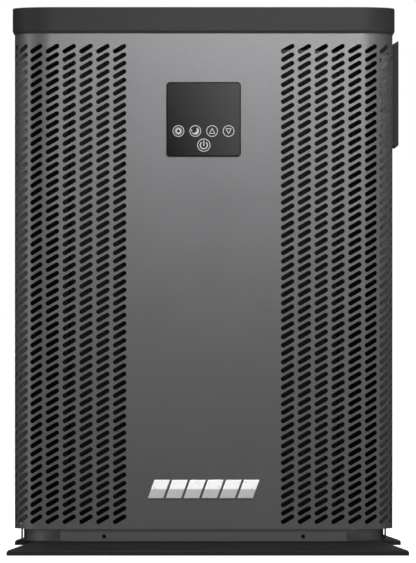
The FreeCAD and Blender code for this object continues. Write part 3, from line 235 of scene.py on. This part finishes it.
def fin_coating():
    """Dark coated fins, with painted shade that makes them blacker round the coil's bends."""
    material, tree, shader = new_material("fin_aluminium")
    shade_start, shade_end = COIL_HIGH[0] - 38 * MM, COIL_HIGH[0] - 32 * MM
    fine = noise(tree, 240.0, 2.0, (1.0, 1.0, 8.0))
    colour = spread_colour(tree, shader, fine, (0.008, 0.008, 0.0083), 0.12).outputs["Color"]
    # painted shade: the fins are coloured near black round the coil's corners, where the inside of the
    # casing is in shadow
    reaches = [worked_out(tree, "ABSOLUTE", place_along(tree, axis)) for axis in "XY"]
    nearest = worked_out(tree, "MINIMUM", *reaches)
    corner_shade = share_between(tree, nearest, shade_start, shade_end)
    tree.links.new(darkened(tree, corner_shade, colour, 0.001), shader.inputs["Base Color"])
    spread_value(tree, noise(tree, 30.0), 0.55, 0.7, shader.inputs["Roughness"])
    add_bump(tree, shader, fine, 0.08, 0.0001)
    shader.inputs["Specular IOR Level"].default_value = 0.05
    return material


FINISHES = {
    "cover_plastic": {"base": (0.0145, 0.0145, 0.0148), "roughness": 0.5, "spread": 0.10, "grain": 1200.0,
                      "bump": 0.2, "depth": 0.00012, "specular": 0.12},
    "foot_rubber": {"base": (0.0065, 0.0065, 0.0066), "roughness": 0.75, "spread": 0.18, "grain": 600.0,
                    "bump": 0.3, "depth": 0.0003, "specular": 0.3},
    "grille_coat": {"base": (0.012, 0.012, 0.0125), "roughness": 0.42, "spread": 0.15, "grain": 900.0},
    "fan_plastic": {"base": (0.016, 0.016, 0.0165), "roughness": 0.38, "spread": 0.12, "grain": 300.0,
                    "bump": 0.1},
    "motor_coat": {"base": (0.014, 0.014, 0.015), "roughness": 0.35, "spread": 0.15, "grain": 500.0,
                   "coat": 0.3},
    "galvanised": {"base": (0.36, 0.37, 0.38), "roughness": 0.42, "metallic": 0.9, "spread": 0.22,
                   "grain": 70.0, "bump": 0.04},
    "black_steel": {"base": (0.002, 0.002, 0.002), "roughness": 0.7, "spread": 0.2, "grain": 900.0,
                    "specular": 0.04},
    "coil_foam": {"base": (0.004, 0.004, 0.004), "roughness": 0.9, "spread": 0.3, "grain": 900.0,
                  "bump": 0.5, "depth": 0.0004, "specular": 0.05},
    "pvc": {"base": (0.055, 0.057, 0.061), "roughness": 0.42, "spread": 0.08, "grain": 350.0,
            "bump": 0.12},
    "compressor_coat": {"base": (0.012, 0.012, 0.013), "roughness": 0.3, "spread": 0.15, "grain": 400.0,
                        "coat": 0.4},
    "soft_rubber": {"base": (0.015, 0.015, 0.015), "roughness": 0.8, "spread": 0.2, "grain": 500.0,
                    "specular": 0.25},
    "circuit_board": {"base": (0.015, 0.11, 0.05), "roughness": 0.4, "spread": 0.35, "grain": 260.0,
                      "coat": 0.4},
    "black_plastic": {"base": (0.011, 0.011, 0.011), "roughness": 0.45, "spread": 0.15, "grain": 700.0},
    "terminal_plastic": {"base": (0.55, 0.52, 0.43), "roughness": 0.5, "spread": 0.06, "grain": 400.0},
}
BARE_METALS = {
    "bright_steel": ((0.62, 0.62, 0.60), 0.28),
    "plain_aluminium": ((0.74, 0.74, 0.75), 0.35),
    "copper": ((0.78, 0.37, 0.22), 0.28),
    "brass": ((0.70, 0.52, 0.22), 0.3),
    "titanium": ((0.46, 0.44, 0.41), 0.34),
}
MATERIALS = {
    "body_paint": body_paint(),
    "fin_aluminium": fin_coating(),
    "panel_glass": touch_glass(),
    "badge_chrome": badge_chrome(),
}
MATERIALS.update({name: finish_of(name, **values) for name, values in FINISHES.items()})
MATERIALS.update({name: brushed(name, base, roughness) for name, (base, roughness) in BARE_METALS.items()})
SLOT_OF = {part["node"]: part["material_slot"] for part in frame["record"]["subparts"]}


def dress_cad_nodes():
    for name, node in nodes.items():
        material = MATERIALS[SLOT_OF[name]]
        if node.data.materials:
            for index in range(len(node.data.materials)):
                node.data.materials[index] = material
        else:
            node.data.materials.append(material)


# ---------------------------------------------------------------- small mesh helpers

def add_object(name, mesh, material, body=ROOT):
    """A visible piece that moves with a body."""
    piece = bpy.data.objects.new(name, mesh)
    scene.collection.objects.link(piece)
    mesh.materials.append(material)
    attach(piece, body)
    return piece


def mesh_from(name, verts, faces):
    """A mesh whose faces all look outward."""
    mesh = bpy.data.meshes.new(name)
    mesh.from_pydata(verts, [], faces)
    mesh.update()
    work = bmesh.new()
    work.from_mesh(mesh)
    bmesh.ops.recalc_face_normals(work, faces=work.faces)
    work.to_mesh(mesh)
    work.free()
    return mesh


def prism(outline, place, depth):
    """Verts and faces of an outline (a, b) laid by place(a, b, level) between levels 0 and depth."""
    count = len(outline)
    verts = [place(a, b, 0.0) for a, b in outline] + [place(a, b, depth) for a, b in outline]
    faces = [tuple(range(count)), tuple(range(2 * count - 1, count - 1, -1))]
    for index in range(count):
        after = (index + 1) % count
        faces.append((index, after, count + after, count + index))
    return verts, faces


def joined(shapes):
    """One list of verts and faces from several."""
    verts, faces = [], []
    for some_verts, some_faces in shapes:
        base = len(verts)
        verts.extend(some_verts)
        faces.extend(tuple(base + index for index in face) for face in some_faces)
    return verts, faces


# ---------------------------------------------------------------- fins of the evaporator

def plan_path(half, corner, gap, step):
    """Points and outward directions along the wrap-round coil in plan, from one rear end to the other."""
    straight = half - corner
    legs = [
        ((-gap, half), (-straight, half), (0, 1)),
        ((-half, straight), (-half, -straight), (-1, 0)),
        ((-straight, -half), (straight, -half), (0, -1)),
        ((half, -straight), (half, straight), (1, 0)),
        ((straight, half), (gap, half), (0, 1)),
    ]
    points = []
    for index, (start, end, outward) in enumerate(legs):
        length = math.dist(start, end)
        count = max(2, int(length / step))
        for place in range(count + 1):
            share = place / count
            points.append((Vector((start[0] + (end[0] - start[0]) * share,
                                   start[1] + (end[1] - start[1]) * share)), Vector(outward)))
        if index < len(legs) - 1:
            following = legs[index + 1][2]
            centre = Vector(end) - Vector(outward) * corner
            bends = max(2, int(corner * math.pi / 2 / step))
            for place in range(1, bends):
                turn = math.pi / 2 * place / bends
                direction = Vector(outward) * math.cos(turn) + Vector(following) * math.sin(turn)
                points.append((centre + direction * corner, direction))
    return points


def coil_band(name, outer, inner, low, high, material):
    """A closed wall that follows the coil in plan, between two paths and two levels."""
    count = len(outer)
    verts = [Vector((p.x, p.y, z)) for path in (outer, inner) for z in (low, high) for p in path]
    faces = []
    for a in range(count - 1):
        b = a + 1
        faces.append((a, b, count + b, count + a))
        faces.append((2 * count + a, 3 * count + a, 3 * count + b, 2 * count + b))
        faces.append((a, 2 * count + a, 2 * count + b, b))
        faces.append((count + a, count + b, 3 * count + b, 3 * count + a))
    for end in (0, count - 1):
        faces.append((end, count + end, 3 * count + end, 2 * count + end))
    return add_object(name, mesh_from(name, verts, faces), material)


def near_seam(point):
    """True by the narrow gap left between the end fins and the straight fins of each face."""
    seam, half_gap = 160 * MM, 1.7 * MM
    along = min(abs(point.x), abs(point.y))
    return abs(along - seam) < half_gap


def evaporator_fins():
    """Closed pleated block: every fin's edge stands out from the gaps between, outside and inside."""
    half, thick = COIL_HIGH[0], 22 * MM
    corner, gap = 36 * MM, 92 * MM
    pitch, notch, seam_depth = 1.9 * MM, 0.4 * MM, 16.0 * MM
    path = plan_path(half, corner, gap, pitch / 2)
    outer, inner = [], []
    for index, (point, way) in enumerate(path):
        depth = seam_depth if near_seam(point) else notch if index % 2 else 0.0
        outer.append(point - way * depth)
        inner.append(point - way * (thick - (notch if index % 2 else 0.0)))
    fins = coil_band("evaporator_fin_pack", outer, inner, COIL_LOW[2], COIL_HIGH[2],
                     MATERIALS["fin_aluminium"])
    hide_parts("evaporator_fins")
    inset, step, pan_sheet, clearance = 0.5 * MM, 6 * MM, 1.3 * MM, 0.1 * MM
    strip = plan_path(half - inset, corner, gap, step)
    coil_band("coil_foam_strip", [point for point, way in strip],
              [point - way * (thick - 2 * inset) for point, way in strip],
              PAN_BOTTOM + pan_sheet, COIL_LOW[2] - clearance, MATERIALS["coil_foam"])


# ---------------------------------------------------------------- touch icons

def icon_material():
    return finish_of("icon_print", (0.24, 0.24, 0.24), 0.5, spread=0.04, grain=500.0, bump=0.02)


ICON_FACE = GLASS_LOW[1]
ICON_T = 0.05 * MM


def on_glass(centre):
    """A function that lays a point near an icon's centre on the glass, or a level above it."""
    def place(a, b, level):
        return (centre[0] + a, ICON_FACE - level, centre[1] + b)
    return place


def ring_shape(centre, outer, width, start=0.0, end=2 * math.pi):
    """A flat ring, or a part of one, as a strip of quads with a thin edge."""
    count = 48
    whole = abs(end - start - 2 * math.pi) < 1e-6
    place = on_glass(centre)
    verts, faces = [], []
    steps = count if whole else count + 1
    for index in range(steps):
        angle = start + (end - start) * index / count
        for radius in (outer - width, outer):
            for level in (0.0, ICON_T):
                verts.append(place(radius * math.cos(angle), radius * math.sin(angle), level))
    for index in range(count):
        a, b = 4 * index, 4 * ((index + 1) % steps)
        faces += [(a, b, b + 2, a + 2), (a + 1, a + 3, b + 3, b + 1)]
        faces += [(a, a + 1, b + 1, b), (a + 2, b + 2, b + 3, a + 3)]
    if not whole:
        last = 4 * count
        faces += [(0, 2, 3, 1), (last, last + 1, last + 3, last + 2)]
    return verts, faces


def bar_shape(centre, start, end, width):
    """A thin straight stroke between two points near an icon's centre."""
    along = (Vector(end) - Vector(start)).normalized()
    across = Vector((-along.y, along.x)) * width / 2
    outline = [Vector(start) - across, Vector(end) - across, Vector(end) + across, Vector(start) + across]
    return prism([(p.x, p.y) for p in outline], on_glass(centre), ICON_T)


def crescent_shape(centre, radius):
    """A crescent between a circle and a smaller one set towards the upper left."""
    shift = Vector((-0.38, 0.30)) * radius
    inner = 0.80 * radius
    outer_points = [Vector((radius * math.cos(a), radius * math.sin(a)))
                    for a in (math.radians(-205 + 255 * n / 28) for n in range(29))]
    inner_points = [shift + Vector((inner * math.cos(a), inner * math.sin(a)))
                    for a in (math.radians(38 - 230 * n / 24) for n in range(25))]
    outline = [(p.x, p.y) for p in outer_points + inner_points]
    return prism(outline, on_glass(centre), ICON_T)


def triangle_strokes(centre, size, up, width):
    """Three strokes round a triangle that points up or down."""
    sign = 1.0 if up else -1.0
    corners = [(0.0, sign * size), (-0.95 * size, -0.85 * sign * size), (0.95 * size, -0.85 * sign * size)]
    return [bar_shape(centre, corners[n], corners[(n + 1) % 3], width) for n in range(3)]


def sun_shapes(centre):
    """A thick ring with twelve short rays."""
    disc, disc_line, rays = 3.5 * MM, 1.7 * MM, 12
    ray_start, ray_end, ray_width = 3.4 * MM, 4.6 * MM, 0.8 * MM
    shapes = [ring_shape(centre, disc, disc_line)]
    for ray in range(rays):
        turn = 2 * math.pi * ray / rays
        way = Vector((math.cos(turn), math.sin(turn)))
        shapes.append(bar_shape(centre, way * ray_start, way * ray_end, ray_width))
    return shapes


def power_shapes(centre):
    """A ring open at its top, with an upright stroke in the opening."""
    radius, width, low, high = 4.9 * MM, 1.3 * MM, -1.0 * MM, 5.4 * MM
    top, gap = math.pi / 2, math.radians(38)
    return [
        ring_shape(centre, radius, width, top + gap, top + 2 * math.pi - gap),
        bar_shape(centre, (0.0, low), (0.0, high), width),
    ]


def touch_icons():
    """Sun, moon, up and down in a row, with the power key below them, as thin light print."""
    middle_x, middle_z = [(GLASS_LOW[axis] + GLASS_HIGH[axis]) / 2 for axis in (0, 2)]
    row_z, power_z = middle_z - 14.0 * MM, middle_z - 30.8 * MM
    radius, power_radius, line = 6.9 * MM, 7.8 * MM, 0.9 * MM
    places = {"sun": -30.0, "moon": -9.9, "up": 10.1, "down": 29.7}
    material = icon_material()
    for name, offset in places.items():
        centre = (middle_x + offset * MM, row_z)
        shapes = [ring_shape(centre, radius, line)]
        if name == "sun":
            shapes += sun_shapes(centre)
        elif name == "moon":
            shapes.append(crescent_shape(centre, 4.4 * MM))
        else:
            shapes += triangle_strokes(centre, 3.3 * MM, name == "up", line)
        add_object("icon_" + name, mesh_from("icon_" + name, *joined(shapes)), material)
    centre = (middle_x + 0.2 * MM, power_z)
    shapes = [ring_shape(centre, power_radius, line)] + power_shapes(centre)
    add_object("icon_power", mesh_from("icon_power", *joined(shapes)), material)


# ---------------------------------------------------------------- floor, light and camera

def stage():
    """A wide matt floor, bright enough to read as white."""
    material, tree, shader = new_material("stage_floor")
    spread_colour(tree, shader, noise(tree, 3.0), (0.35, 0.35, 0.35), 0.01)
    shader.inputs["Roughness"].default_value = 0.9
    shader.inputs["Specular IOR Level"].default_value = 0.1
    shader.inputs["Emission Color"].default_value = (1.0, 1.0, 1.0, 1.0)
    shader.inputs["Emission Strength"].default_value = 0.98
    reach, below = 400.0, -0.5 * MM
    corners = [(x * reach, y * reach, below) for x, y in ((-1, -1), (1, -1), (1, 1), (-1, 1))]
    mesh = mesh_from("floor", corners, [(0, 1, 2, 3)])
    mesh.materials.append(material)
    floor = bpy.data.objects.new("floor", mesh)
    floor.visible_glossy = False
    scene.collection.objects.link(floor)


def world():
    """White to look at. As a light it is a studio, open in front of the unit and dim behind it."""
    studio = bpy.data.worlds.new("studio")
    studio.use_nodes = True
    tree = studio.node_tree
    seen = tree.nodes["Background"]
    seen.inputs["Color"].default_value = (1.0, 1.0, 1.0, 1.0)
    seen.inputs["Strength"].default_value = 1.0
    surround = tree.nodes.new("ShaderNodeBackground")
    surround.inputs["Color"].default_value = (1.0, 1.0, 1.0, 1.0)
    direction = tree.nodes.new("ShaderNodeTexCoord")
    split = tree.nodes.new("ShaderNodeSeparateXYZ")
    depth = tree.nodes.new("ShaderNodeMapRange")
    depth.interpolation_type = "SMOOTHSTEP"
    depth.inputs["From Min"].default_value = -0.1
    depth.inputs["From Max"].default_value = 0.7
    depth.inputs["To Min"].default_value = 0.34
    depth.inputs["To Max"].default_value = 0.04
    tree.links.new(direction.outputs["Generated"], split.inputs["Vector"])
    tree.links.new(split.outputs["Y"], depth.inputs["Value"])
    tree.links.new(depth.outputs["Result"], surround.inputs["Strength"])
    path = tree.nodes.new("ShaderNodeLightPath")
    blend = tree.nodes.new("ShaderNodeMixShader")
    tree.links.new(path.outputs["Is Camera Ray"], blend.inputs["Fac"])
    tree.links.new(surround.outputs["Background"], blend.inputs[1])
    tree.links.new(seen.outputs["Background"], blend.inputs[2])
    tree.links.new(blend.outputs["Shader"], tree.nodes["World Output"].inputs["Surface"])
    scene.world = studio


def area_light(name, place, target, size, power, spread=180):
    """A soft rectangular lamp at a place, turned to a target."""
    lamp = bpy.data.lights.new(name, "AREA")
    lamp.shape = "RECTANGLE"
    lamp.size, lamp.size_y = size
    lamp.energy = power
    lamp.spread = math.radians(spread)
    light = bpy.data.objects.new(name, lamp)
    light.location = place
    light.rotation_euler = (Vector(target) - Vector(place)).to_track_quat("-Z", "Y").to_euler()
    scene.collection.objects.link(light)


def lights():
    area_light("key", (0.22, -0.95, 0.93), (0.05, FRONT, 0.47), (0.75, 0.25), 2.9, spread=70)
    area_light("overhead", (0.0, 0.0, 2.6), (0.0, 0.0, 0.0), (2.4, 2.4), 7.0, spread=120)
    area_light("left_strip", (-1.5, -0.60, 0.65), (-0.2, -0.18, 0.40), (0.25, 1.2), 4.5)
    area_light("right_fill", (1.6, -0.90, 0.70), (0.2, -0.18, 0.40), (0.35, 1.2), 1.5)
    area_light("back", (0.0, 1.6, 1.9), (0.0, 0.2, 0.35), (1.4, 0.9), 22.0)
    area_light("left_side", (-1.6, 0.9, 1.9), (-0.2, 0.0, 0.35), (0.9, 0.9), 8.0)
    area_light("right_side", (1.6, 0.9, 1.9), (0.2, 0.0, 0.35), (0.9, 0.9), 8.0)


def camera():
    """Long lens, level with the lower middle of the casing, as far off as a product shot."""
    distance, seen_height = 8.09, 0.67008
    lens = bpy.data.cameras.new("camera")
    lens.sensor_width = 36.0
    lens.lens = lens.sensor_width * distance / seen_height
    lens.shift_y = 0.0335
    lens.clip_end = 100.0
    eye = bpy.data.objects.new("camera", lens)
    eye.location = (0.0052, FRONT - distance, 0.303)
    eye.rotation_euler = (math.radians(90), 0, 0)
    scene.collection.objects.link(eye)
    scene.camera = eye
    scene.view_settings.view_transform = "Standard"


dress_cad_nodes()
evaporator_fins()
touch_icons()
stage()
world()
lights()
camera()
